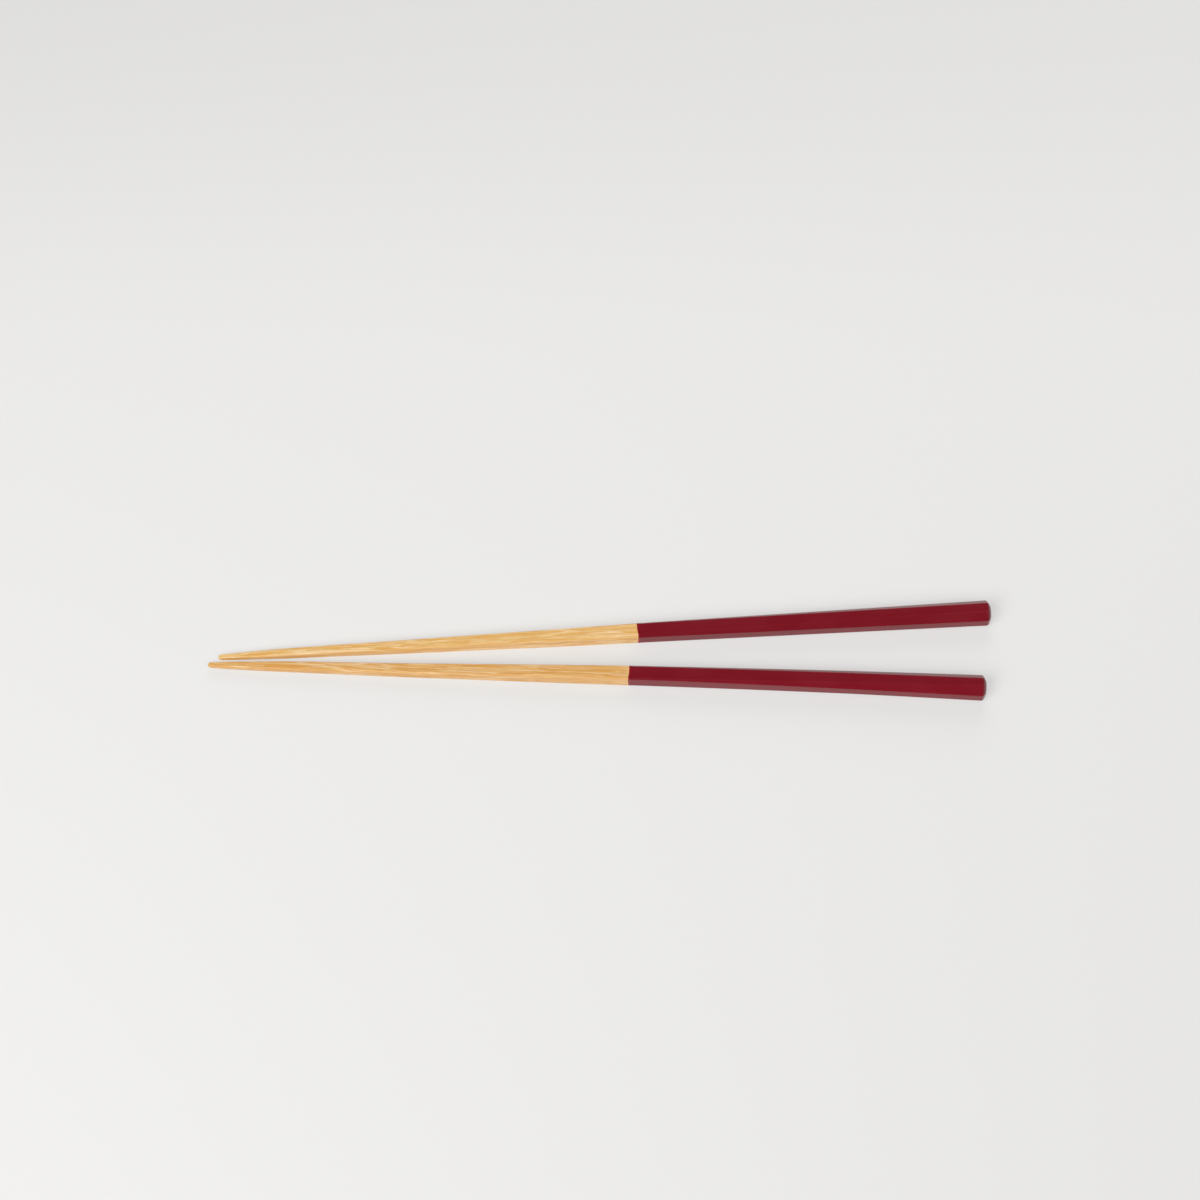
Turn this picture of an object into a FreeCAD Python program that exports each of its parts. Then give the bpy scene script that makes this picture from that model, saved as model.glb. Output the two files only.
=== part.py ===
import FreeCAD, Part
import Sketcher
import os

# A pair of bamboo chopsticks with lacquered handles, lying on a flat surface in a narrow V.
# Sizes are in millimetres, +Z is up, and the origin is under the middle of the pair.
# Each stick is first drawn along its own axis: x runs from the eating tip to the butt.

os.makedirs("parts", exist_ok=True)
doc = FreeCAD.newDocument("chopsticks")

SIZES = (
    # One stick, from the tip to the butt
    ("stick_length", 230.0),
    ("tip_width", 1.25),
    ("tip_end_length", 0.3),
    ("tip_end_inset", 0.15),
    ("point_length", 20.0),
    ("neck_width", 2.55),
    ("butt_width", 6.74),
    # The butt end: a steep shoulder, then a shallow crown
    ("shoulder_length", 0.65),
    ("shoulder_inset", 0.75),
    ("crown_length", 0.5),
    ("crown_inset", 1.15),
    # The four corners: softened near the tip, then planed into bevels that widen to the butt
    ("tip_corner_cut", 0.2),
    ("corner_cut", 0.35),
    ("bevel_start", 90.0),
    ("butt_corner_cut", 2.1),
    ("arris_radius", 0.15),
    # The lacquer on the handle
    ("lacquer_start", 124.5),
    ("lacquer_thickness", 0.08),
    # How the two sticks lie
    ("tip_spacing", 2.65),
    ("butt_spacing", 25.2),
    ("tip_stagger", 3.0),
)

sheet = doc.addObject("Spreadsheet::Sheet", "Sizes")
for row, (alias, value) in enumerate(SIZES, start=1):
    cell = "A" + str(row)
    sheet.set(cell, str(value))
    sheet.setAlias(cell, alias)
doc.recompute()


def size(alias):
    """The expression that reads one size from the sheet."""
    return "Sizes." + alias


# How a sketch counts: its origin and axes, and the two ends of a line
ORIGIN, ACROSS, UPWARD = -1, -1, -2
START, END = 1, 2

# A sketch turned so stands square to the stick's axis
SQUARE_TO_AXIS = FreeCAD.Rotation(FreeCAD.Vector(1, 1, 1), 120)


# Places along the stick's axis
SHOULDER = f"({size('stick_length')} - {size('crown_length')} - {size('shoulder_length')})"
CROWN = f"({size('stick_length')} - {size('crown_length')})"

# Lean of each flat against the axis, over the straight taper from the neck to the shoulder
LEAN = (
    f"atan(({size('butt_width')} - {size('neck_width')}) / 2"
    f" / ({SHOULDER} - {size('point_length')}))"
)


def taper_width(station):
    """Width across the flats of the bare stick, anywhere behind the neck."""
    return f"({size('neck_width')} + 2 * tan({LEAN}) * ({station} - {size('point_length')}))"


def bevel_cut(station):
    """How much of each corner is planed off, anywhere behind the start of the bevels."""
    share = f"({station} - {size('bevel_start')}) / ({SHOULDER} - {size('bevel_start')})"
    growth = f"({size('butt_corner_cut')} - {size('corner_cut')})"
    return f"({size('corner_cut')} + {growth} * {share})"


def ring(name, station, width, cut, skin="0"):
    """One cross-section: a square with cut corners whose arrises are round.

    The eight-sided core is drawn inside the section by the arris radius, and a round
    offset brings it out again. A skin lifts the section off the wood by its thickness.
    """
    core = doc.addObject("Sketcher::SketchObject", name + "_core")

    # A first drawing, which the measures below bring to size
    side, knee = 1.0, 0.5
    corners = [
        (side, -knee), (side, knee), (knee, side), (-knee, side),
        (-side, knee), (-side, -knee), (-knee, -side), (knee, -side),
    ]
    points = [FreeCAD.Vector(y, z, 0) for y, z in corners]
    for point, next_point in zip(points, points[1:] + points[:1]):
        core.addGeometry(Part.LineSegment(point, next_point), False)
    lines = list(range(len(points)))
    for line, next_line in zip(lines, lines[1:] + lines[:1]):
        core.addConstraint(Sketcher.Constraint("Coincident", line, END, next_line, START))

    # Every other line is a flat, and the core is alike on both sides of each axis
    right, upper, left, lower = lines[::2]
    for flat, axis in ((right, ACROSS), (left, ACROSS), (upper, UPWARD), (lower, UPWARD)):
        core.addConstraint(Sketcher.Constraint("Symmetric", flat, START, flat, END, axis))
    core.addConstraint(Sketcher.Constraint("Symmetric", right, END, left, START, UPWARD))
    core.addConstraint(Sketcher.Constraint("Symmetric", upper, START, lower, END, ACROSS))

    half = f"({width}) / 2 - {size('arris_radius')}"
    inner_cut = f"({cut}) - (2 - sqrt(2)) * {size('arris_radius')}"
    knee_place = f"{half} - ({inner_cut})"
    measures = (
        ("DistanceX", right, START, side, "half_width", half),
        ("DistanceY", upper, START, side, "half_height", half),
        ("DistanceY", right, END, knee, "side_knee", knee_place),
        ("DistanceX", upper, START, knee, "top_knee", knee_place),
    )
    for kind, line, end, value, label, expression in measures:
        measure = Sketcher.Constraint(kind, ORIGIN, START, line, end, value)
        core.renameConstraint(core.addConstraint(measure), label)
        core.setExpression("Constraints." + label, expression)

    core.Placement = FreeCAD.Placement(FreeCAD.Vector(0, 0, 0), SQUARE_TO_AXIS)
    core.setExpression("Placement.Base.x", station)

    section = doc.addObject("Part::Offset2D", name)
    section.Source = core
    section.Join = "Arc"
    section.setExpression("Value", f"{size('arris_radius')} + {skin}")
    return section


def lofted(name, rings, placement):
    """A closed solid with straight sides from each ring to the next, laid in its place."""
    loft = doc.addObject("Part::Loft", name)
    loft.Sections = rings
    loft.Solid = True
    loft.Ruled = True
    loft.Linearize = True
    loft.setExpression("Placement", placement)
    return loft


def butt_rings(name, skin="0"):
    """The three rings that end the stick: shoulder, crown and butt end."""
    shoulder_width = size("butt_width")
    crown_width = f"({shoulder_width} - 2 * {size('shoulder_inset')})"
    end_width = f"({crown_width} - 2 * {size('crown_inset')})"
    full_cut = size("butt_corner_cut")
    return [
        ring(name + "_shoulder", SHOULDER, shoulder_width, full_cut, skin),
        ring(name + "_crown", f"{CROWN} + {skin}", crown_width,
             f"{full_cut} * {crown_width} / {shoulder_width}", skin),
        ring(name + "_end", f"{size('stick_length')} + {skin}", end_width,
             f"{full_cut} * {end_width} / {shoulder_width}", skin),
    ]


def stick(name, placement):
    """The bamboo stick: a fine tip, a slender point, a square shank and a bevelled handle."""
    tip = size("tip_width")
    rings = [
        ring(name + "_tip_end", "0", f"({tip} - 2 * {size('tip_end_inset')})",
             size("tip_corner_cut")),
        ring(name + "_tip", size("tip_end_length"), tip, size("tip_corner_cut")),
        ring(name + "_neck", size("point_length"), size("neck_width"), size("corner_cut")),
        ring(name + "_bevel_start", size("bevel_start"), taper_width(size("bevel_start")),
             size("corner_cut")),
    ]
    return lofted(name, rings + butt_rings(name), placement)


def lacquer_coat(name, wood, placement):
    """The lacquer skin on the handle: a sleeve closed over the butt."""
    start = size("lacquer_start")
    skin = size("lacquer_thickness")
    first = ring(name + "_start", start, taper_width(start), bevel_cut(start), skin)
    dipped = lofted(name + "_outside", [first] + butt_rings(name, skin), placement)
    coat = doc.addObject("Part::Cut", name)
    coat.Base = dipped
    coat.Tool = wood
    coat.Refine = False
    return coat


# Half the angle between the sticks
SWING = (
    f"asin(({size('butt_spacing')} - {size('tip_spacing')}) / 2"
    f" / ({size('stick_length')} * cos({LEAN})))"
)

# The whole reach of the pair along X: one laid stick and the stagger of the tips
REACH = (
    f"(({size('stick_length')} + {size('lacquer_thickness')}) * cos({LEAN}) * cos({SWING})"
    f" + {size('tip_stagger')})"
)

# Height of the axis at the tip when the lacquered lower flat lies on the surface
TIP_HEIGHT = (
    f"cos({LEAN}) * ({size('neck_width')} / 2 + {size('lacquer_thickness')}"
    f" - {size('point_length')} * tan({LEAN}))"
)


def lying(side, advance):
    """The placement of a stick that lies on its lower flat.

    side is 1 for the stick behind and -1 for the one in front, and advance is how far its
    tip stands back from the foremost tip.
    """
    tip_x = f"{advance} - {REACH} / 2"
    tip_y = f"{side} * {size('tip_spacing')} / 2"
    turn = f"rotation({side} * {SWING}; -1 * {LEAN}; 0)"
    return f"placement(vector({tip_x}; {tip_y}; {TIP_HEIGHT}); {turn})"


nodes = []
for place, side, advance in (("back", 1, size("tip_stagger")), ("front", -1, "0")):
    laid = lying(side, advance)
    wood = stick("chopstick_" + place, laid)
    coat = lacquer_coat("handle_lacquer_" + place, wood, laid)
    nodes += [wood, coat]
doc.recompute()

for item in doc.Objects:
    failed = [state for state in item.State if state in ("Invalid", "Error")]
    if failed:
        raise RuntimeError(f"{item.Label} is {failed}")
for node in nodes:
    if node.Shape.isNull() or not node.Shape.isValid() or len(node.Shape.Solids) != 1:
        raise RuntimeError(f"{node.Label} is not one valid solid")

for node in nodes:
    node.Label = node.Name
    node.Shape.exportStep(os.path.join("parts", node.Label + ".step"))
    box = node.Shape.BoundBox
    print(f"{node.Label}: {node.Shape.Volume:.2f} mm3, x {box.XMin:.3f} to {box.XMax:.3f},"
          f" y {box.YMin:.3f} to {box.YMax:.3f}, z {box.ZMin:.3f} to {box.ZMax:.3f}")
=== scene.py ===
"""A pair of bamboo chopsticks with dark red lacquered handles, lying on a pale studio floor.

All lengths are in metres. Each stick is first drawn along its own axis, with x running from the
eating tip to the butt and z up, and is then laid on its lower flat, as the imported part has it.
"""

import logging
import math
from dataclasses import dataclass, fields
from enum import Enum
from itertools import accumulate
from typing import Union

import bpy
from mathutils import Euler, Matrix, Vector

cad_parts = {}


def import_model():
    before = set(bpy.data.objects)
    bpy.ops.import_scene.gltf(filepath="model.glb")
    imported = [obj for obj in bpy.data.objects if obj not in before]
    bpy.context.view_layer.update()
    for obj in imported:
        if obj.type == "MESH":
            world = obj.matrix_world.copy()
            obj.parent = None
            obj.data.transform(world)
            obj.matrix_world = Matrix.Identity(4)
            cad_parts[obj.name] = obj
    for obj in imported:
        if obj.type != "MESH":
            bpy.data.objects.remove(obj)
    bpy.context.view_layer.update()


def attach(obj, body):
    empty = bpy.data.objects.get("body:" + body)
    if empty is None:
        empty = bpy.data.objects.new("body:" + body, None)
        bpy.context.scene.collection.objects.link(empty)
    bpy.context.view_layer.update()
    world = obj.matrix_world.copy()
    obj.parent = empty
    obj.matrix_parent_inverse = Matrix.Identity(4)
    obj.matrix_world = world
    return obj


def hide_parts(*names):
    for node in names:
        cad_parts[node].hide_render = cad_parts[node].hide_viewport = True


MM = 0.001

# What each point of a form remembers for the finishes
PLACE = "stick_place"
ARRIS = "arris"
FRESH_EDGE = "fresh_edge"

# The share of the section that the small round before each end's dome takes off
TIP_SHOULDER = 0.2
BUTT_SHOULDER = 0.07

log = logging.getLogger("chopsticks")

Colour = tuple[float, float, float]
Socket = bpy.types.NodeSocket


class Side(Enum):
    """Which stick of the pair."""

    BACK = "back"
    FRONT = "front"


class Corner(Enum):
    """The four planed corners of a stick, counted round its axis from the back."""

    BACK_UPPER = 0
    FRONT_UPPER = 1
    FRONT_LOWER = 2
    BACK_LOWER = 3


Number = Union["Value", float, int]


class Value:
    """A number that a node tree works out, so that shapes and finishes read as arithmetic."""

    def __init__(self, tree: bpy.types.NodeTree, socket: Socket) -> None:
        """Wrap one output socket of a tree."""
        self.tree = tree
        self.socket = socket

    def _worked(self, operation: str, *numbers: Number, clamp: bool = False) -> "Value":
        """Place one Math node.

        Args:
            operation: The Math node's operation.
            numbers: What goes into its sockets, in order.
            clamp: Whether the result is kept from 0 to 1.

        Returns:
            The node's result.
        """
        node = self.tree.nodes.new("ShaderNodeMath")
        node.operation = operation
        node.use_clamp = clamp
        for socket, number in zip(node.inputs, numbers):
            if isinstance(number, Value):
                self.tree.links.new(number.socket, socket)
            else:
                socket.default_value = number
        return Value(self.tree, node.outputs[0])

    def __add__(self, other: Number) -> "Value":
        """Add a number."""
        return self._worked("ADD", self, other)

    def __radd__(self, other: Number) -> "Value":
        """Add to a number."""
        return self._worked("ADD", other, self)

    def __sub__(self, other: Number) -> "Value":
        """Take a number away."""
        return self._worked("SUBTRACT", self, other)

    def __rsub__(self, other: Number) -> "Value":
        """Take this away from a number."""
        return self._worked("SUBTRACT", other, self)

    def __mul__(self, other: Number) -> "Value":
        """Multiply by a number."""
        return self._worked("MULTIPLY", self, other)

    def __rmul__(self, other: Number) -> "Value":
        """Multiply a number by this."""
        return self._worked("MULTIPLY", other, self)

    def __truediv__(self, other: Number) -> "Value":
        """Divide by a number."""
        return self._worked("DIVIDE", self, other)

    def __pow__(self, other: Number) -> "Value":
        """Raise to a power."""
        return self._worked("POWER", self, other)

    def __rpow__(self, other: Number) -> "Value":
        """Raise a number to this power."""
        return self._worked("POWER", other, self)

    def clamped(self) -> "Value":
        """Keep it from 0 to 1."""
        return self._worked("ADD", self, 0.0, clamp=True)

    def sin(self) -> "Value":
        """Sine, in radians."""
        return self._worked("SINE", self)

    def cos(self) -> "Value":
        """Cosine, in radians."""
        return self._worked("COSINE", self)

    def angle(self, other: Number) -> "Value":
        """The angle whose tangent is this over the other number, all the way round."""
        return self._worked("ARCTAN2", self, other)

    def floor(self) -> "Value":
        """The whole number below."""
        return self._worked("FLOOR", self)

    def rounded(self) -> "Value":
        """The nearest whole number."""
        return self._worked("ROUND", self)

    def modulo(self, other: Number) -> "Value":
        """What is left after division by a whole number."""
        return self._worked("FLOORED_MODULO", self, other)

    def least(self, other: Number) -> "Value":
        """The smaller of the two."""
        return self._worked("MINIMUM", self, other)

    def most(self, other: Number) -> "Value":
        """The larger of the two."""
        return self._worked("MAXIMUM", self, other)

    def soft_least(self, other: Number, reach: Number) -> "Value":
        """The smaller of the two, blended where they are nearer than the reach."""
        return self._worked("SMOOTH_MIN", self, other, reach)

    def soft_most(self, other: Number, reach: Number) -> "Value":
        """The larger of the two, blended where they are nearer than the reach."""
        return self._worked("SMOOTH_MAX", self, other, reach)

    def equals(self, other: Number) -> "Value":
        """1 where the two are the same whole number, otherwise 0."""
        return self._worked("COMPARE", self, other, 0.25)

    def above(self, other: Number) -> "Value":
        """1 where this is the larger, otherwise 0."""
        return self._worked("GREATER_THAN", self, other)

    def ramped(self, low: float, high: float) -> "Value":
        """Rise smoothly from 0 at the low number to 1 at the high one."""
        node = self.tree.nodes.new("ShaderNodeMapRange")
        node.interpolation_type = "SMOOTHSTEP"
        self.tree.links.new(self.socket, node.inputs["Value"])
        node.inputs["From Min"].default_value = low
        node.inputs["From Max"].default_value = high
        return Value(self.tree, node.outputs["Result"])


def joined(tree: bpy.types.NodeTree, x: Number, y: Number, z: Number) -> Socket:
    """Make a vector from three numbers.

    Args:
        tree: The tree it stands in.
        x: Its first number.
        y: Its second number.
        z: Its third number.

    Returns:
        The vector's socket.
    """
    node = tree.nodes.new("ShaderNodeCombineXYZ")
    for socket, number in zip(node.inputs, (x, y, z)):
        if isinstance(number, Value):
            tree.links.new(number.socket, socket)
        else:
            socket.default_value = number
    return node.outputs[0]


def parted(tree: bpy.types.NodeTree, vector: Socket) -> tuple[Value, Value, Value]:
    """Take a vector apart.

    Args:
        tree: The tree it stands in.
        vector: The vector's socket.

    Returns:
        Its three numbers.
    """
    node = tree.nodes.new("ShaderNodeSeparateXYZ")
    tree.links.new(vector, node.inputs[0])
    return tuple(Value(tree, socket) for socket in node.outputs)


def cloud(tree: bpy.types.NodeTree, x: Number, y: Number, z: Number, detail: float = 2.0,
          roughness: float = 0.5) -> Value:
    """Read a noise at a place.

    Args:
        tree: The tree it stands in.
        x: The place's first number.
        y: Its second number.
        z: Its third number.
        detail: How many finer layers it has.
        roughness: How strong the finer layers are.

    Returns:
        The noise, about 0.5 on average.
    """
    vector = joined(tree, x, y, z)
    node = tree.nodes.new("ShaderNodeTexNoise")
    tree.links.new(vector, node.inputs["Vector"])
    node.inputs["Scale"].default_value = 1.0
    node.inputs["Detail"].default_value = detail
    node.inputs["Roughness"].default_value = roughness
    return Value(tree, node.outputs["Fac"])


@dataclass(frozen=True)
class Bevel:
    """One planed corner: where its flat comes out of the shank, its full cut and from where."""

    start: float
    cut: float
    full: float = 228.85 * MM


@dataclass(frozen=True)
class StickSizes:
    """The sizes of one stick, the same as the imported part's, and what the hand left uneven."""

    length: float = 230.0 * MM
    tip_width: float = 1.25 * MM
    tip_depth: float = 0.42 * MM
    tip_fullness: float = 2.5
    point_length: float = 20.0 * MM
    neck_width: float = 2.55 * MM
    point_swell: float = 0.75
    neck_blend: float = 0.2 * MM
    butt_width: float = 6.74 * MM
    shoulder_back: float = 1.15 * MM
    butt_depth: float = 1.15 * MM
    butt_fullness: float = 3.3
    tip_cut: float = 0.2 * MM
    corner_cut: float = 0.35 * MM
    arris_radius: float = 0.15 * MM
    facet_crown: float = 0.012 * MM
    unevenness: float = 0.006
    bow: float = 0.0
    bow_skew: float = 0.5
    point_stray: float = 0.1 * MM
    handle_waist: float = 0.07 * MM
    lacquer_start: float = 124.5 * MM
    lacquer_thickness: float = 0.08 * MM
    lacquer_lip: float = 0.3 * MM
    lacquer_wave: float = 0.14 * MM
    wave_turn: float = 0.0
    seed: float = 0.0
    bevels: tuple[Bevel, Bevel, Bevel, Bevel] = (Bevel(90 * MM, 2.1 * MM),) * 4

    @property
    def shoulder(self) -> float:
        """How far behind the tip the straight taper ends."""
        return self.length - self.shoulder_back

    @property
    def lean(self) -> float:
        """The angle between each flat and the axis, over the straight taper."""
        return math.atan((self.butt_width - self.neck_width) / 2
                         / (self.shoulder - self.point_length))

    def inputs(self) -> dict[str, float]:
        """Name the sizes as the inputs of the form trees are named.

        Returns:
            The values by input name.
        """
        named = {"Shoulder": self.shoulder}
        for size in fields(self):
            if size.name != "bevels":
                named[size.name.replace("_", " ").capitalize()] = getattr(self, size.name)
        for corner, bevel in zip(Corner, self.bevels):
            for part in fields(bevel):
                named[f"{corner.name} bevel {part.name}"] = getattr(bevel, part.name)
        return named


@dataclass(frozen=True)
class Lie:
    """How the pair lies: the spaces between the axes, and how far one tip stands back."""

    tip_spacing: float = 2.65 * MM
    butt_spacing: float = 25.2 * MM
    tip_stagger: float = 3.0 * MM

    def placement(self, sizes: StickSizes, side: Side) -> Matrix:
        """Work out where a stick lies.

        Args:
            sizes: The stick's sizes.
            side: Which stick of the pair it is.

        Returns:
            The matrix from the stick's own axis to the frame.
        """
        turn = 1 if side is Side.BACK else -1
        advance = self.tip_stagger if side is Side.BACK else 0.0
        swing = math.asin((self.butt_spacing - self.tip_spacing) / 2
                          / (sizes.length * math.cos(sizes.lean)))
        reach = ((sizes.length + sizes.lacquer_thickness) * math.cos(sizes.lean)
                 * math.cos(swing) + self.tip_stagger)
        height = math.cos(sizes.lean) * (sizes.neck_width / 2 + sizes.lacquer_thickness
                                         - sizes.point_length * math.tan(sizes.lean))
        tip = Vector((advance - reach / 2, turn * self.tip_spacing / 2, height))
        turned = Euler((0.0, -sizes.lean, turn * swing), "XYZ").to_matrix().to_4x4()
        return Matrix.Translation(tip) @ turned


class FormTree:
    """A Geometry Nodes tree with named inputs, which makes one piece from a grid of rings."""

    MERGE_DISTANCE = 0.0004 * MM
    COLUMNS = 64
    ARC_STEPS = 4
    CORNER_STEPS = 8

    def __init__(self, name: str, counts: tuple[int, ...], sizes: StickSizes) -> None:
        """Start the tree.

        Args:
            name: The tree's name.
            counts: How many rings of points each stretch of the piece takes.
            sizes: The sizes its inputs start from.
        """
        self.tree = bpy.data.node_groups.new(name, "GeometryNodeTree")
        self.tree.is_modifier = True
        self.tree.interface.new_socket("Form", in_out="OUTPUT", socket_type="NodeSocketGeometry")
        self.entry = self.tree.nodes.new("NodeGroupInput")
        self.counts = counts
        self.usual = sizes.inputs()
        self.identifiers: dict[str, str] = {}
        self.finish = self.tree.interface.new_socket(
            "Finish", in_out="INPUT", socket_type="NodeSocketMaterial")

    def size(self, name: str) -> Value:
        """Add a named input that takes one of the sizes.

        Args:
            name: What the size is.

        Returns:
            The size, as the tree reads it.
        """
        socket = self.tree.interface.new_socket(
            name, in_out="INPUT", socket_type="NodeSocketFloat")
        socket.default_value = self.usual[name]
        self.identifiers[name] = socket.identifier
        return Value(self.tree, self.entry.outputs[name])

    def grid(self) -> tuple[Socket, list[Value], Value]:
        """Lay out the points.

        Returns:
            The grid, the share of each stretch that each point has passed, from 0 to 1, and the
            point's number round its ring.
        """
        last = sum(self.counts)
        node = self.tree.nodes.new("GeometryNodeMeshGrid")
        node.inputs["Size X"].default_value = last
        node.inputs["Size Y"].default_value = self.COLUMNS
        node.inputs["Vertices X"].default_value = last + 1
        node.inputs["Vertices Y"].default_value = self.COLUMNS + 1
        spot = self.tree.nodes.new("GeometryNodeInputPosition")
        along, across, _ = parted(self.tree, spot.outputs[0])
        ring = (along + last / 2).rounded()
        column = (across + self.COLUMNS / 2).rounded().modulo(self.COLUMNS)
        firsts = accumulate(self.counts, initial=0)
        shares = [((ring - first) / count).clamped() for first, count in zip(firsts, self.counts)]
        return node.outputs["Mesh"], shares, column

    def after(self, kind: str, geometry: Socket) -> bpy.types.Node:
        """Place a node whose first input takes the geometry.

        Args:
            kind: The kind of node.
            geometry: What goes into it.

        Returns:
            The node.
        """
        node = self.tree.nodes.new(kind)
        self.tree.links.new(geometry, node.inputs[0])
        return node

    def close(self, grid: Socket, place: Socket, marks: dict[str, Union[Value, Socket]]) -> None:
        """Bend the grid into the piece, close it and end the tree.

        Args:
            grid: The flat grid.
            place: Where each point goes.
            marks: What each point remembers for the finishes, by name.
        """
        links = self.tree.links
        current = grid
        for name, mark in marks.items():
            store = self.after("GeometryNodeStoreNamedAttribute", current)
            store.data_type = "FLOAT" if isinstance(mark, Value) else "FLOAT_VECTOR"
            store.inputs["Name"].default_value = name
            links.new(mark.socket if isinstance(mark, Value) else mark, store.inputs["Value"])
            current = store.outputs[0]
        bend = self.after("GeometryNodeSetPosition", current)
        links.new(place, bend.inputs["Position"])
        merge = self.after("GeometryNodeMergeByDistance", bend.outputs[0])
        merge.inputs["Distance"].default_value = self.MERGE_DISTANCE
        current = merge.outputs[0]
        for kind in ("FlipFaces", "SetShadeSmooth", "RealizeInstances"):
            current = self.after("GeometryNode" + kind, current).outputs[0]
        paint = self.after("GeometryNodeSetMaterial", current)
        links.new(self.entry.outputs["Finish"], paint.inputs["Material"])
        self.after("NodeGroupOutput", paint.outputs[0])

    def grow(self, name: str, sizes: StickSizes, finish: bpy.types.Material,
             placement: Matrix) -> bpy.types.Object:
        """Make a piece as a plain mesh in its place.

        Args:
            name: The piece's name.
            sizes: The sizes that its inputs take.
            finish: Its material.
            placement: Where it lies.

        Returns:
            The piece.
        """
        carrier = bpy.data.objects.new(name + "_form", bpy.data.meshes.new(name + "_form"))
        bpy.context.scene.collection.objects.link(carrier)
        modifier = carrier.modifiers.new("Form", "NODES")
        modifier.node_group = self.tree
        modifier[self.finish.identifier] = finish
        values = sizes.inputs()
        for size, identifier in self.identifiers.items():
            modifier[identifier] = float(values[size])
        graph = bpy.context.evaluated_depsgraph_get()
        mesh = bpy.data.meshes.new_from_object(
            carrier.evaluated_get(graph), preserve_all_data_layers=True, depsgraph=graph)
        bpy.data.objects.remove(carrier)
        mesh.name = name
        mesh.transform(placement)
        piece = bpy.data.objects.new(name, mesh)
        bpy.context.scene.collection.objects.link(piece)
        return piece


class SectionRule:
    """The eight-sided section of a stick at any place along it, as nodes in a form tree."""

    # Along the stick: how its width wanders, where its waist sets in and its stray ends
    WANDER_LENGTH = 28 * MM
    PLANED_OVER = 2 * MM
    PLANED_BEFORE = 0.3
    STRAY_REACH = (23 * MM, 60 * MM)

    # How softly the bevels begin and end, and the least cut
    BEVEL_EASE = 0.1
    CUT_BLEND = 0.05 * MM
    LEAST_CUT = 0.01 * MM

    # Round the stick: how the points gather at the arrises, how fast the arris mark fades, and
    # where the flat that it lies on faces, in eighths of a turn
    FLAT_GATHER = 1.68
    ARRIS_FADE = 6
    LOWER_FLAT = 6

    def __init__(self, form: FormTree) -> None:
        """Add the sizes that the section follows to the tree.

        Args:
            form: The tree it is drawn in.
        """
        self.form = form
        size = form.size
        self.length = size("Length")
        self.tip_width = size("Tip width")
        self.point_length = size("Point length")
        self.neck_width = size("Neck width")
        self.point_swell = size("Point swell")
        self.neck_blend = size("Neck blend")
        self.butt_width = size("Butt width")
        self.shoulder = size("Shoulder")
        self.tip_cut = size("Tip cut")
        self.corner_cut = size("Corner cut")
        self.radius = size("Arris radius")
        self.crown = size("Facet crown")
        self.unevenness = size("Unevenness")
        self.bow = size("Bow")
        self.bow_skew = size("Bow skew")
        self.stray = size("Point stray")
        self.waist = size("Handle waist")
        self.lacquer_start = size("Lacquer start")
        self.seed = size("Seed")
        self.bevels = [
            [size(f"{corner.name} bevel {part.name}") for part in fields(Bevel)]
            for corner in Corner
        ]

    def width(self, station: Value) -> Value:
        """Give the width across the flats of the bare stick.

        Args:
            station: How far behind the tip.

        Returns:
            The width, with a soft change of taper at the neck, a slight unevenness, and the
            handle planed a little finer where its lacquer begins.
        """
        slope = (self.butt_width - self.neck_width) / (self.shoulder - self.point_length)
        shank = self.neck_width + slope * (station - self.point_length)
        swell = (station / self.point_length).most(0) ** self.point_swell
        point = self.tip_width + (self.neck_width - self.tip_width) * swell
        even = shank.soft_least(point, self.neck_blend)
        wander = cloud(self.form.tree, station / self.WANDER_LENGTH, self.seed, 0.0, detail=1.0)
        behind = station - self.lacquer_start
        planed = (behind / self.PLANED_OVER + self.PLANED_BEFORE).clamped()
        left = ((self.shoulder - station) / (self.shoulder - self.lacquer_start)).clamped()
        return even * (1 - self.unevenness * wander) - self.waist * planed * left * 2

    def bent(self, station: Value) -> Value:
        """Give how far the stick's bow, and its askew point, stand off the axis to the back.

        Args:
            station: How far behind the tip.

        Returns:
            The distance.
        """
        share = station / self.length
        skewed = 1 + self.bow_skew * (share * 2 - 1)
        pointed = 1 - station.ramped(*self.STRAY_REACH)
        return self.bow * share * (1 - share) * 4 * skewed + self.stray * pointed

    def cut(self, station: Value, quadrant: Value) -> Value:
        """Give how much is planed off a corner.

        Args:
            station: How far behind the tip.
            quadrant: The number of the corner, from 0 to 3.

        Returns:
            The cut along each flat.
        """
        softened = self.tip_cut + (self.corner_cut - self.tip_cut) * (
            station / self.point_length).clamped()
        start: Number = 0.0
        deepest: Number = 0.0
        full: Number = 0.0
        for corner, (bevel_start, bevel_cut, bevel_full) in zip(Corner, self.bevels):
            here = quadrant.equals(corner.value)
            start = start + here * bevel_start
            deepest = deepest + here * bevel_cut
            full = full + here * bevel_full
        share = ((station - start) / (full - start)).soft_least(1.0, self.BEVEL_EASE)
        planed = self.corner_cut + (deepest - self.corner_cut) * share
        return softened.soft_most(planed, self.CUT_BLEND)

    def knee(self, number: Value, station: Value, half: Value) -> tuple[Value, Value]:
        """Place one of the eight knees of the core, which the arris radius is drawn round.

        Args:
            number: Which knee, counted round the axis from the back flat.
            station: How far behind the tip.
            half: Half the width of the core.

        Returns:
            Its place across the stick, as y and z.
        """
        wrapped = number.modulo(self.form.CORNER_STEPS)
        quadrant = (wrapped / 2).floor()
        odd = wrapped.modulo(2)
        inner_cut = self.cut(station, quadrant) - (2 - math.sqrt(2)) * self.radius
        near = half - inner_cut.most(self.LEAST_CUT)
        along = half + (near - half) * odd
        beside = near + (half - near) * odd
        angle = quadrant * (math.pi / 2)
        return (along * angle.cos() - beside * angle.sin(),
                along * angle.sin() + beside * angle.cos())

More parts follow.
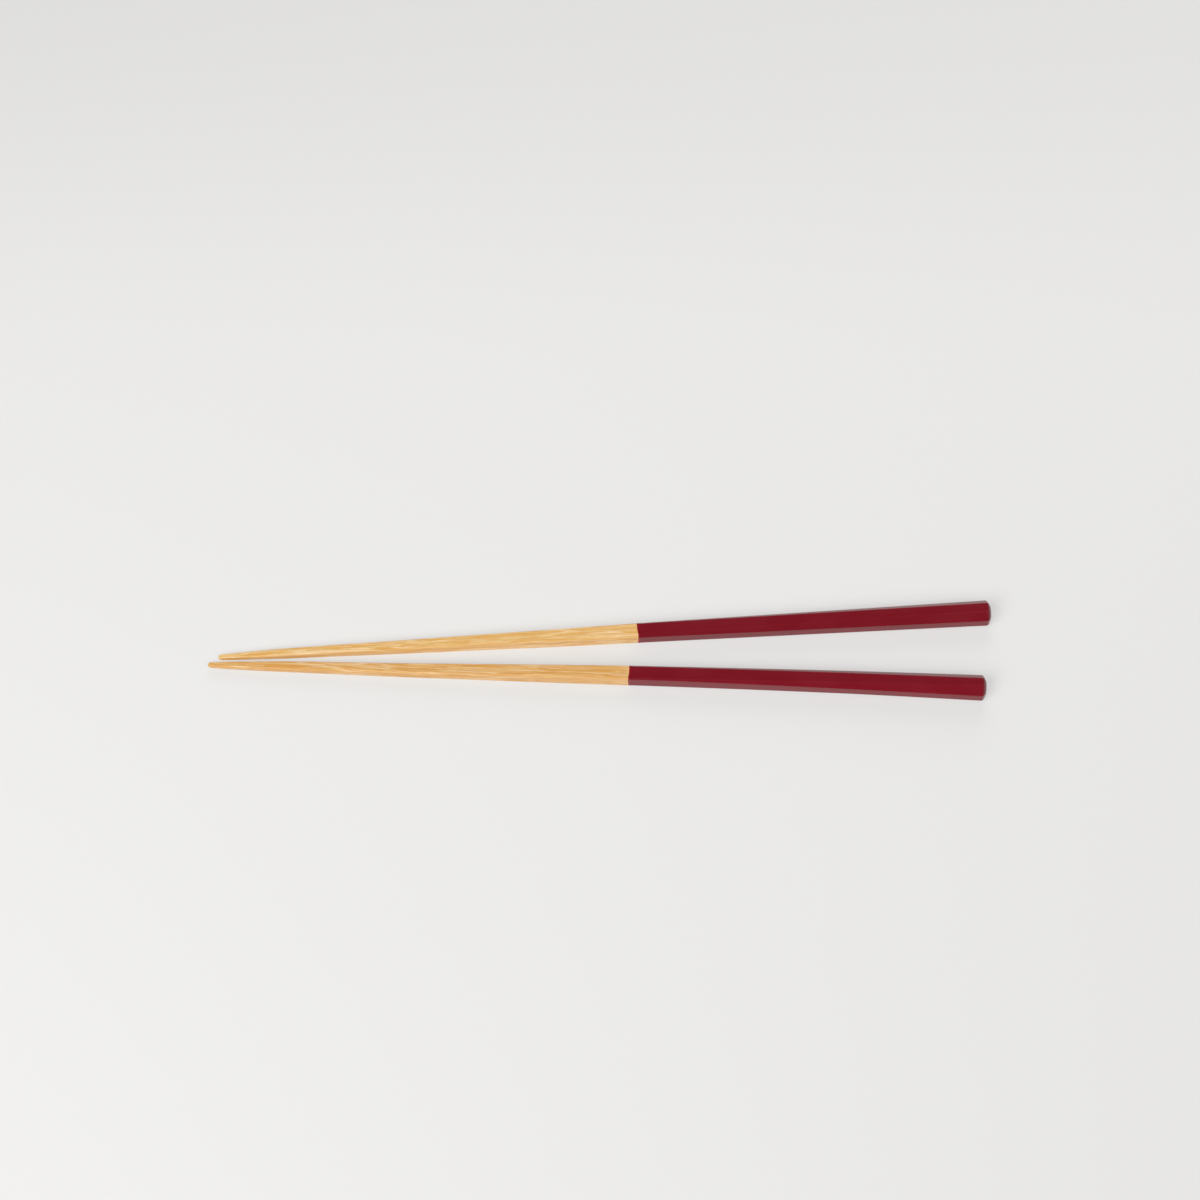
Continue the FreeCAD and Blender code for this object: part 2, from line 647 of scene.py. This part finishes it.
    def point(self, station: Value, scale: Number, skin: Number,
              column: Value) -> tuple[Value, Value, Value]:
        """Place a point of the section.

        Args:
            station: How far behind the tip.
            scale: How much the section is drawn in, for the round ends.
            skin: How far it stands off the wood.
            column: The number of the point round the section.

        Returns:
            Its place as y and z, and 1 on an arris or 0 on a flat.
        """
        steps = self.form.CORNER_STEPS
        corner = (column / steps).floor()
        step = column - corner * steps
        arc = (step / self.form.ARC_STEPS).least(1)
        over = (step - self.form.ARC_STEPS).most(0) / (steps - self.form.ARC_STEPS)
        flat = (0.5 + (over - 0.5) * self.FLAT_GATHER).clamped()
        half = self.width(station) / 2 - self.radius
        y, z = self.knee(corner, station, half)
        next_y, next_z = self.knee(corner + 1, station, half)
        angle = (corner + arc) * (math.pi / 4)
        lower_flat = (corner + arc).equals(self.LOWER_FLAT)
        bulge = self.crown * flat * (1 - flat) * 4 * (1 - lower_flat)
        reach = self.radius + skin + bulge
        y = (y + (next_y - y) * flat + reach * angle.cos()) * scale
        z = (z + (next_z - z) * flat + reach * angle.sin()) * scale
        return y, z, 1 - (over * self.ARRIS_FADE).clamped()


@dataclass(frozen=True)
class RoundEnd:
    """A rounded end of a stick: a dome that a small round joins to the straight flats."""

    # Where the round gives way to the dome, how far before the dome it starts, in shoulders,
    # and the scale at which the dome is closed
    TURN = 0.4
    LEAD = 2.4
    LEAST_SCALE = 0.0001

    depth: Value
    fullness: Value
    shoulder: float

    @property
    def reach(self) -> Value:
        """How far before the end the rounding begins."""
        low = 1 - self.shoulder
        return self._dome(low) + self._slope(low) * (self.LEAD * self.shoulder)

    def _dome(self, share: float) -> Value:
        """How far before the end the dome has a share of the full section."""
        return self.depth * share ** self.fullness

    def _slope(self, share: float) -> Value:
        """How fast the dome falls away there."""
        return self.depth * self.fullness * share ** (self.fullness - 1)

    def at(self, share: Value) -> tuple[Value, Value]:
        """Follow the rounding from the flats to the middle of the end.

        Args:
            share: 0 where the rounding begins, 1 in the middle of the end.

        Returns:
            How far before the end that is, and the scale of the section there.
        """
        low = 1 - self.shoulder
        bend = (share / self.TURN).clamped()
        rest = ((share - self.TURN) / (1 - self.TURN)).clamped()
        scale = (1 - self.shoulder * bend * bend) * (1 - rest)
        dome = self.depth * (scale.most(self.LEAST_SCALE) ** self.fullness)
        first = self.reach
        third = self._dome(low)
        second = third + self._slope(low) * self.shoulder
        curve = (first * (1 - bend) * (1 - bend) + second * bend * (1 - bend) * 2
                 + third * bend * bend)
        on_dome = share.above(self.TURN)
        return curve + (dome - curve) * on_dome, scale


class StickForm(FormTree):
    """The bamboo stick: a fine rounded tip, a slender point, a square shank, a bevelled handle."""

    # How many rings the tip, the shank and the butt take
    RINGS = (16, 330, 26)

    def __init__(self, sizes: StickSizes) -> None:
        """Build the tree.

        Args:
            sizes: The sizes its inputs start from.
        """
        super().__init__("Bamboo_stick", self.RINGS, sizes)
        section = SectionRule(self)
        tip = RoundEnd(self.size("Tip depth"), self.size("Tip fullness"), TIP_SHOULDER)
        butt = RoundEnd(self.size("Butt depth"), self.size("Butt fullness"), BUTT_SHOULDER)
        grid, (tip_share, shank_share, butt_share), column = self.grid()
        tip_place, tip_scale = tip.at(1 - tip_share)
        butt_place, butt_scale = butt.at(butt_share)
        straight = (section.length - butt.reach - tip.reach) * shank_share
        station = tip_place + straight + butt.reach - butt_place
        y, z, arris = section.point(station, tip_scale * butt_scale, 0.0, column)
        marks = {PLACE: joined(self.tree, station, y + section.seed, z), ARRIS: arris}
        self.close(grid, joined(self.tree, station, y + section.bent(station), z), marks)


class LacquerForm(FormTree):
    """The lacquer on the handle: a thin closed film with a feathered front edge."""

    # How many rings the inner cap, the inner wall, the lip, the outer wall and the butt take
    RINGS = (12, 60, 10, 190, 34)

    # How deep the film sits in the wood, how far its wavy edge and its fresh colour reach back,
    # and how the noise of the wave is read
    KEYED_IN = 0.02 * MM
    WAVE_FADE = 5 * MM
    FRESH_LENGTH = 1 * MM
    RIPPLE_REACH = 1.6
    RIPPLE_LAYER = 3.7
    SEED_SPREAD = 900.0

    def __init__(self, sizes: StickSizes) -> None:
        """Build the tree.

        Args:
            sizes: The sizes its inputs start from.
        """
        super().__init__("Handle_lacquer", self.RINGS, sizes)
        section = SectionRule(self)
        butt = RoundEnd(self.size("Butt depth"), self.size("Butt fullness"), BUTT_SHOULDER)
        start = section.lacquer_start
        film = self.size("Lacquer thickness")
        lip = self.size("Lacquer lip")
        wave = self.size("Lacquer wave")
        turn = self.size("Wave turn")
        grid, shares, column = self.grid()
        cap_share, inner_share, lip_share, outer_share, butt_share = shares
        inner_place, inner_scale = butt.at(1 - cap_share)
        outer_place, outer_scale = butt.at(butt_share)
        wall_end = section.length - butt.reach
        evenly = (wall_end + butt.reach - inner_place + (start - wall_end) * inner_share
                  + lip * lip_share + (wall_end - start - lip) * outer_share
                  + butt.reach - outer_place + film * (butt_share * (math.pi / 2)).sin())
        tree = self.tree
        edge_y, edge_z, _ = section.point(start, 1.0, 0.0, column)
        around = edge_z.angle(edge_y)
        jagged = cloud(tree, around.cos() * self.RIPPLE_REACH + section.seed * self.SEED_SPREAD,
                       around.sin() * self.RIPPLE_REACH, self.RIPPLE_LAYER)
        ripple = (around * 2 - turn).sin() + 2 * (jagged - 0.5)
        behind = evenly - start
        fade = (1 - behind / self.WAVE_FADE).clamped()
        station = evenly + wave * ripple * fade * fade
        rise = (lip_share * (math.pi / 2)).sin()
        skin = (film + self.KEYED_IN) * rise - self.KEYED_IN
        y, z, arris = section.point(station, inner_scale * outer_scale, skin, column)
        marks = {
            PLACE: joined(tree, station, y + section.seed, z),
            ARRIS: arris,
            FRESH_EDGE: (1 - behind / self.FRESH_LENGTH).clamped(),
        }
        self.close(grid, joined(tree, station, y + section.bent(station), z), marks)


class EffectGroup:
    """A shader node group with named inputs and outputs."""

    def __init__(self, name: str, numbers: dict[str, float], results: tuple[str, ...]) -> None:
        """Start the group.

        Args:
            name: The group's name.
            numbers: Its inputs with their usual values.
            results: The names of its outputs.
        """
        self.tree = bpy.data.node_groups.new(name, "ShaderNodeTree")
        face = self.tree.interface
        face.new_socket("Place", in_out="INPUT", socket_type="NodeSocketVector")
        for number, usual in numbers.items():
            socket = face.new_socket(number, in_out="INPUT", socket_type="NodeSocketFloat")
            socket.default_value = usual
        for result in results:
            face.new_socket(result, in_out="OUTPUT", socket_type="NodeSocketFloat")
        self.entry = self.tree.nodes.new("NodeGroupInput")
        self.end = self.tree.nodes.new("NodeGroupOutput")
        self.place = self.entry.outputs["Place"]

    def number(self, name: str) -> Value:
        """Read one of the inputs."""
        return Value(self.tree, self.entry.outputs[name])

    def result(self, name: str, value: Value) -> None:
        """Put out one of the results."""
        self.tree.links.new(value.socket, self.end.inputs[name])


class FibreGroup(EffectGroup):
    """Bamboo fibres: a pattern through the whole stick, long and fine, slightly askew to it."""

    SWAY_FINENESS = (22.0, 60.0)
    SWAY_DEPTH = (0.0016, 0.0011)
    SLANT_UP = 0.7
    TONE_FINENESS = (26.0, 180.0)
    STREAK_EDGE = (0.48, 0.56)
    PALE_EDGE = (0.51, 0.59)
    FLECK_EDGE = (0.57, 0.65)
    TONE_EDGE = (0.3, 0.7)

    def __init__(self) -> None:
        """Build the group."""
        super().__init__("Bamboo_fibres", {
            "Streak length": 0.016,
            "Streak width": 0.0005,
            "Fine width": 0.0002,
            "Slant": 0.03,
        }, ("Streak", "Pale", "Fleck", "Fine", "Tone"))
        tree = self.tree
        x, y, z = parted(tree, self.place)
        slant = self.number("Slant")
        along, across = self.SWAY_FINENESS
        sway = cloud(tree, x * along, y * across, z * across, detail=1.0) - 0.5
        y = y + x * slant + sway * self.SWAY_DEPTH[0]
        z = z + x * slant * self.SLANT_UP + sway * self.SWAY_DEPTH[1]
        length = self.number("Streak length")
        width = self.number("Streak width")
        fine = self.number("Fine width")
        streak = cloud(tree, x / length, y / width, z / width, 3.0, 0.6)
        pale = cloud(tree, x / length * 0.8 + 31.0, y / width * 0.9, z / width * 0.9)
        fleck = cloud(tree, x / length * 2.0 + 7.0, y / width * 2.4, z / width * 2.4, 2.0, 0.55)
        thread = cloud(tree, x / length * 2.5, y / fine, z / fine, 2.0, 0.6)
        along, across = self.TONE_FINENESS
        tone = cloud(tree, x * along, y * across, z * across)
        self.result("Streak", streak.ramped(*self.STREAK_EDGE))
        self.result("Pale", pale.ramped(*self.PALE_EDGE))
        self.result("Fleck", fleck.ramped(*self.FLECK_EDGE))
        self.result("Fine", thread)
        self.result("Tone", tone.ramped(*self.TONE_EDGE))


class HandlingGroup(EffectGroup):
    """Traces of making and use: soft smudges, and a fine unevenness of the surface."""

    SPECK_FINENESS = 2200.0
    SMUDGE_EDGE = (0.35, 0.65)
    SPECK_EDGE = (0.66, 0.74)

    def __init__(self) -> None:
        """Build the group."""
        super().__init__("Handling", {
            "Smudge size": 0.012,
            "Ripple length": 0.006,
            "Ripple width": 0.0015,
        }, ("Smudge", "Ripple", "Speck"))
        tree = self.tree
        x, y, z = parted(tree, self.place)
        size = self.number("Smudge size")
        smudge = cloud(tree, x / size, y / size * 2.0, z / size * 2.0, 3.0)
        length = self.number("Ripple length")
        width = self.number("Ripple width")
        ripple = cloud(tree, x / length, y / width, z / width, 1.0)
        fine = self.SPECK_FINENESS
        speck = cloud(tree, x * fine, y * fine, z * fine, 1.0)
        self.result("Smudge", smudge.ramped(*self.SMUDGE_EDGE))
        self.result("Ripple", ripple)
        self.result("Speck", speck.ramped(*self.SPECK_EDGE))


class Surface:
    """A material in the making, with the helpers that the finishes share."""

    # The two colour inputs of a Mix node and its colour output
    LOW_COLOUR, HIGH_COLOUR, MIXED_COLOUR = 6, 7, 2

    def __init__(self, name: str) -> None:
        """Start a material with an empty tree."""
        self.material = bpy.data.materials.new(name)
        self.material.use_nodes = True
        self.tree = self.material.node_tree
        self.tree.nodes.clear()
        self.shader = self.tree.nodes.new("ShaderNodeBsdfPrincipled")
        out = self.tree.nodes.new("ShaderNodeOutputMaterial")
        self.tree.links.new(self.shader.outputs[0], out.inputs["Surface"])

    def mark(self, name: str) -> bpy.types.ShaderNodeAttribute:
        """Read what the form stored at each point."""
        node = self.tree.nodes.new("ShaderNodeAttribute")
        node.attribute_name = name
        return node

    def effect(self, group: EffectGroup, place: Socket, **numbers: float) -> dict[str, Value]:
        """Place an effect group.

        Args:
            group: The effect.
            place: The vector it reads.
            numbers: Its inputs, with underscores for spaces.

        Returns:
            Its results by name.
        """
        node = self.tree.nodes.new("ShaderNodeGroup")
        node.node_tree = group.tree
        self.tree.links.new(place, node.inputs["Place"])
        for name, number in numbers.items():
            node.inputs[name.replace("_", " ")].default_value = number
        return {out.name: Value(self.tree, out) for out in node.outputs}

    def blend(self, under: Union[Colour, Socket], over: Colour, share: Value) -> Socket:
        """Lay one colour over another.

        Args:
            under: The colour below.
            over: The colour on top.
            share: How much of it shows.

        Returns:
            The colour that comes out.
        """
        node = self.tree.nodes.new("ShaderNodeMix")
        node.data_type = "RGBA"
        self.tree.links.new(share.socket, node.inputs["Factor"])
        low, high = node.inputs[self.LOW_COLOUR], node.inputs[self.HIGH_COLOUR]
        if isinstance(under, tuple):
            low.default_value = (*under, 1.0)
        else:
            self.tree.links.new(under, low)
        high.default_value = (*over, 1.0)
        return node.outputs[self.MIXED_COLOUR]

    def feed(self, name: str, socket: Union[Value, Socket]) -> None:
        """Lead a result into one of the shader's inputs."""
        source = socket.socket if isinstance(socket, Value) else socket
        self.tree.links.new(source, self.shader.inputs[name])

    def bump(self, height: Value, depth: float) -> None:
        """Give the shader a fine relief.

        Args:
            height: The relief, from 0 to 1.
            depth: How deep it is.
        """
        node = self.tree.nodes.new("ShaderNodeBump")
        node.inputs["Distance"].default_value = depth
        self.tree.links.new(height.socket, node.inputs["Height"])
        self.tree.links.new(node.outputs["Normal"], self.shader.inputs["Normal"])


@dataclass(frozen=True)
class BambooFinish:
    """Sanded bamboo: golden, with long orange-brown streaks and paler ones, lightly oiled."""

    name: str
    ground: Colour
    deep: Colour
    streak: Colour
    pale: Colour
    fleck: Colour
    streak_share: float = 0.95
    fleck_share: float = 0.7
    thread_share: float = 0.5
    smudge_size: float = 0.02
    roughness: float = 0.40
    coat: float = 0.65
    coat_roughness: float = 0.3
    relief: float = 0.03 * MM

    def material(self, fibres: FibreGroup, handling: HandlingGroup) -> bpy.types.Material:
        """Build the material.

        Args:
            fibres: The fibre pattern.
            handling: The traces of making and use.

        Returns:
            The material.
        """
        surface = Surface(self.name)
        place = surface.mark(PLACE).outputs["Vector"]
        grain = surface.effect(fibres, place)
        used = surface.effect(handling, place, Smudge_size=self.smudge_size)
        colour = surface.blend(self.ground, self.deep, grain["Tone"])
        colour = surface.blend(colour, self.pale, grain["Pale"])
        colour = surface.blend(colour, self.streak, grain["Streak"] * self.streak_share)
        colour = surface.blend(colour, self.fleck, grain["Fleck"] * self.fleck_share)
        threads = (grain["Fine"] - 0.4).clamped() * self.thread_share
        colour = surface.blend(colour, self.fleck, threads)
        surface.feed("Base Color", colour)
        surface.feed("Roughness", self.roughness + grain["Fine"] * 0.14 + used["Smudge"] * 0.06)
        surface.shader.inputs["Coat Weight"].default_value = self.coat
        surface.shader.inputs["Coat Roughness"].default_value = self.coat_roughness
        surface.bump(grain["Fine"] * 0.6 + grain["Fleck"] * 0.4, self.relief)
        return surface.material


@dataclass(frozen=True)
class LacquerFinish:
    """Dark red lacquer: glossy, a little brighter where the film is thin."""

    name: str
    deep: Colour
    warm: Colour
    thin: Colour
    roughness: float = 0.17
    ior: float = 1.5
    relief: float = 0.012 * MM

    def material(self, handling: HandlingGroup) -> bpy.types.Material:
        """Build the material.

        Args:
            handling: The traces of making and use.

        Returns:
            The material.
        """
        surface = Surface(self.name)
        place = surface.mark(PLACE).outputs["Vector"]
        used = surface.effect(handling, place)
        arris = Value(surface.tree, surface.mark(ARRIS).outputs["Fac"])
        edge = Value(surface.tree, surface.mark(FRESH_EDGE).outputs["Fac"])
        colour = surface.blend(self.deep, self.warm, used["Smudge"] * 0.6 + arris * 0.25)
        colour = surface.blend(colour, self.thin, edge * edge * (0.2 + used["Smudge"] * 0.6))
        surface.feed("Base Color", colour)
        surface.feed("Roughness", self.roughness + used["Smudge"] * 0.05 + used["Speck"] * 0.04)
        surface.shader.inputs["IOR"].default_value = self.ior
        surface.bump(used["Ripple"] + used["Speck"] * 0.02, self.relief)
        return surface.material


@dataclass(frozen=True)
class FloorFinish:
    """The pale sheet that the pair lies on, which the camera sees lit from below as well.

    The share from below keeps the sticks' shadows and their warm cast on it as light as in the
    photo. It lights nothing else. Painted shade makes the sheet, as the camera and reflections see
    it, a little darker towards the back and at the right in front.
    """

    name: str = "Pale_sheet"
    colour: Colour = (0.83, 0.825, 0.812)
    glow: float = 0.58
    # Painted shade on the seen sheet: how much darker it is towards the back, at the right,
    # evenly, and in the right front corner
    painted_shade_far: float = 0.07
    painted_shade_right: float = 0.09
    dimmer_all: float = 0.03
    painted_shade_corner: float = 0.8
    far: tuple[float, float] = (0.10, 0.26)
    mottle: float = 0.01
    mottle_fineness: float = 3.0
    roughness: float = 0.9
    specular: float = 0.1

    def material(self) -> bpy.types.Material:
        """Build the material.

        Returns:
            The material.
        """
        surface = Surface(self.name)
        spot = surface.tree.nodes.new("ShaderNodeTexCoord").outputs["Object"]
        x, y, z = parted(surface.tree, spot)
        fine = self.mottle_fineness
        soft = cloud(surface.tree, x * fine, y * fine, z * fine)
        rays = surface.tree.nodes.new("ShaderNodeLightPath")
        seen = Value(surface.tree, rays.outputs["Is Camera Ray"])
        for kind in ("Is Glossy Ray", "Is Transmission Ray"):
            seen = seen.most(Value(surface.tree, rays.outputs[kind]))
        # Painted shade: the sheet that the camera and reflections see is darkened towards the
        # back, at the right and in the right front corner, with a faint random mottle
        painted_shade_and_mottle = (self.dimmer_all + x * self.painted_shade_right - x * y * self.painted_shade_corner
               + y.ramped(*self.far) * self.painted_shade_far + soft * self.mottle)
        black = (0.0, 0.0, 0.0)
        lower = tuple(part * (1 - self.glow) for part in self.colour)
        whole = surface.blend(self.colour, lower, seen)
        surface.feed("Base Color", surface.blend(whole, black, painted_shade_and_mottle.clamped() * seen))
        glow = tuple(part * self.glow for part in self.colour)
        lit = surface.blend(black, glow, seen)
        surface.feed("Emission Color", surface.blend(lit, black, painted_shade_and_mottle.clamped()))
        surface.shader.inputs["Emission Strength"].default_value = 1.0
        surface.shader.inputs["Roughness"].default_value = self.roughness
        surface.shader.inputs["Specular IOR Level"].default_value = self.specular
        return surface.material


@dataclass
class Chopstick:
    """One stick of the pair with its lacquered handle."""

    side: Side
    sizes: StickSizes
    lie: Lie
    wood: BambooFinish
    lacquer: LacquerFinish

    def build(self, stick_form: StickForm, lacquer_form: LacquerForm, fibres: FibreGroup,
              handling: HandlingGroup) -> list[bpy.types.Object]:
        """Make the stick and its lacquer in their places.

        Args:
            stick_form: The tree that makes sticks.
            lacquer_form: The tree that makes the films.
            fibres: The fibre pattern.
            handling: The traces of making and use.

        Returns:
            The stick and the film.
        """
        placement = self.lie.placement(self.sizes, self.side)
        self.stick = stick_form.grow(f"stick_{self.side.value}", self.sizes,
                                     self.wood.material(fibres, handling), placement)
        self.film = lacquer_form.grow(f"lacquer_{self.side.value}", self.sizes,
                                      self.lacquer.material(handling), placement)
        return [self.stick, self.film]

    def dress(self) -> None:
        """Hang the two pieces on the root body and hide the imported solids that they stand for.
        """
        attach(self.stick, "root")
        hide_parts(f"chopstick_{self.side.value}")
        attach(self.film, "root")
        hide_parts(f"handle_lacquer_{self.side.value}")


@dataclass
class Studio:
    """The pale floor with a low upturned rim, the soft lamps and the dim room around them."""

    floor_radius: float = 2.4
    rim_radius: float = 3.2
    rim_height: float = 0.8
    room: Colour = (0.15, 0.15, 0.152)
    inner_radii: tuple[float, ...] = (0.0, 0.6, 1.4)
    rim_steps: int = 12
    turns: int = 72

    def floor(self) -> None:
        """Make the floor as one turned sheet."""
        profile = [(radius, 0.0) for radius in (*self.inner_radii, self.floor_radius)]
        bend = self.rim_radius - self.floor_radius
        for step in range(1, self.rim_steps + 1):
            angle = math.radians(90 * step / self.rim_steps)
            profile.append((self.floor_radius + bend * math.sin(angle),
                            self.rim_height * (1 - math.cos(angle))))
        turns = self.turns
        points = [(0.0, 0.0, 0.0)]
        for radius, height in profile[1:]:
            for turn in range(turns):
                angle = 2 * math.pi * turn / turns
                points.append((radius * math.cos(angle), radius * math.sin(angle), height))
        faces = [(0, 1 + turn, 1 + (turn + 1) % turns) for turn in range(turns)]
        for row in range(len(profile) - 2):
            low, high = 1 + row * turns, 1 + (row + 1) * turns
            for turn in range(turns):
                after = (turn + 1) % turns
                faces.append((low + turn, high + turn, high + after, low + after))
        mesh = bpy.data.meshes.new("floor")
        mesh.from_pydata(points, [], faces)
        mesh.shade_smooth()
        mesh.materials.append(FloorFinish().material())
        floor = bpy.data.objects.new("floor", mesh)
        bpy.context.scene.collection.objects.link(floor)

    def lamp(self, name: str, place: Vector, width: float, power: float) -> None:
        """Hang a soft square lamp that points at the middle of the floor.

        Args:
            name: The lamp's name.
            place: Where it hangs.
            width: How wide it is.
            power: Its power in watts.
        """
        data = bpy.data.lights.new(name, "AREA")
        data.shape = "SQUARE"
        data.size = width
        data.energy = power
        lamp = bpy.data.objects.new(name, data)
        lamp.location = place
        lamp.rotation_mode = "QUATERNION"
        lamp.rotation_quaternion = (-place).to_track_quat("-Z", "Y")
        bpy.context.scene.collection.objects.link(lamp)

    def light(self) -> None:
        """Hang the lamps and set the room's own light."""
        self.lamp("left_lamp", Vector((-1.0, -1.12, 1.5)), width=1.3, power=39.0)
        self.lamp("right_lamp", Vector((1.25, -1.22, 1.65)), width=1.4, power=17.5)
        self.lamp("back_lamp", Vector((0.1, 1.65, 0.9)), width=1.2, power=14.5)
        world = bpy.data.worlds.new("Room")
        world.use_nodes = True
        back = world.node_tree.nodes["Background"]
        back.inputs["Color"].default_value = (*self.room, 1.0)
        bpy.context.scene.world = world


@dataclass
class Viewpoint:
    """The camera, which looks down at the pair from in front."""

    elevation: float = 61.0
    azimuth: float = -0.685
    distance: float = 1.0193
    lens: float = 102.0
    aim: tuple[float, float, float] = (0.0, 0.0202, 0.0)
    clip: tuple[float, float] = (0.01, 50.0)

    def build(self) -> None:
        """Set up the camera."""
        a, e = math.radians(self.azimuth), math.radians(self.elevation)
        back = Vector((math.sin(a) * math.cos(e), -math.cos(a) * math.cos(e), math.sin(e)))
        data = bpy.data.cameras.new("camera")
        data.lens = self.lens
        data.clip_start, data.clip_end = self.clip
        camera = bpy.data.objects.new("camera", data)
        camera.location = Vector(self.aim) + back * self.distance
        camera.rotation_mode = "QUATERNION"
        camera.rotation_quaternion = (-back).to_track_quat("-Z", "Y")
        bpy.context.scene.collection.objects.link(camera)
        bpy.context.scene.camera = camera


BACK_SIZES = StickSizes(
    wave_turn=math.radians(208),
    bevels=(Bevel(130 * MM, 1.87 * MM), Bevel(95 * MM, 2.2 * MM),
            Bevel(103 * MM, 1.7 * MM), Bevel(110 * MM, 2.1 * MM)),
)
FRONT_SIZES = StickSizes(
    lacquer_start=124.6 * MM,
    wave_turn=math.radians(60),
    bow=0.64 * MM,
    point_stray=0.27 * MM,
    seed=0.05,
    bevels=(Bevel(124 * MM, 2.02 * MM), Bevel(137 * MM, 2.4 * MM),
            Bevel(110 * MM, 1.52 * MM, 190 * MM), Bevel(110 * MM, 2.1 * MM)),
)

BACK_BAMBOO = BambooFinish(
    name="Bamboo_back",
    ground=(0.775, 0.51, 0.205),
    deep=(0.76, 0.475, 0.165),
    streak=(0.70, 0.36, 0.065),
    pale=(0.86, 0.625, 0.345),
    fleck=(0.62, 0.29, 0.06),
)
FRONT_BAMBOO = BambooFinish(
    name="Bamboo_front",
    ground=(0.725, 0.435, 0.162),
    deep=(0.70, 0.40, 0.125),
    streak=(0.64, 0.30, 0.048),
    pale=(0.80, 0.55, 0.28),
    fleck=(0.56, 0.245, 0.05),
)
RED_LACQUER = LacquerFinish(
    name="Red_lacquer",
    deep=(0.174, 0.0018, 0.0092),
    warm=(0.188, 0.0024, 0.0100),
    thin=(0.55, 0.008, 0.004),
)


def main() -> None:
    """Build the pair, the studio and the camera, and report the pieces."""
    logging.basicConfig(level=logging.INFO, format="%(message)s")
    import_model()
    fibres, handling = FibreGroup(), HandlingGroup()
    stick_form, lacquer_form = StickForm(BACK_SIZES), LacquerForm(BACK_SIZES)
    lie = Lie()
    pair = (
        Chopstick(Side.BACK, BACK_SIZES, lie, BACK_BAMBOO, RED_LACQUER),
        Chopstick(Side.FRONT, FRONT_SIZES, lie, FRONT_BAMBOO, RED_LACQUER),
    )
    for chopstick in pair:
        for piece in chopstick.build(stick_form, lacquer_form, fibres, handling):
            log.info("%s: %d faces", piece.name, len(piece.data.polygons))
        chopstick.dress()
    studio = Studio()
    studio.floor()
    studio.light()
    Viewpoint().build()
    bpy.context.scene.view_settings.view_transform = "Standard"


if __name__ == "__main__":
    main()
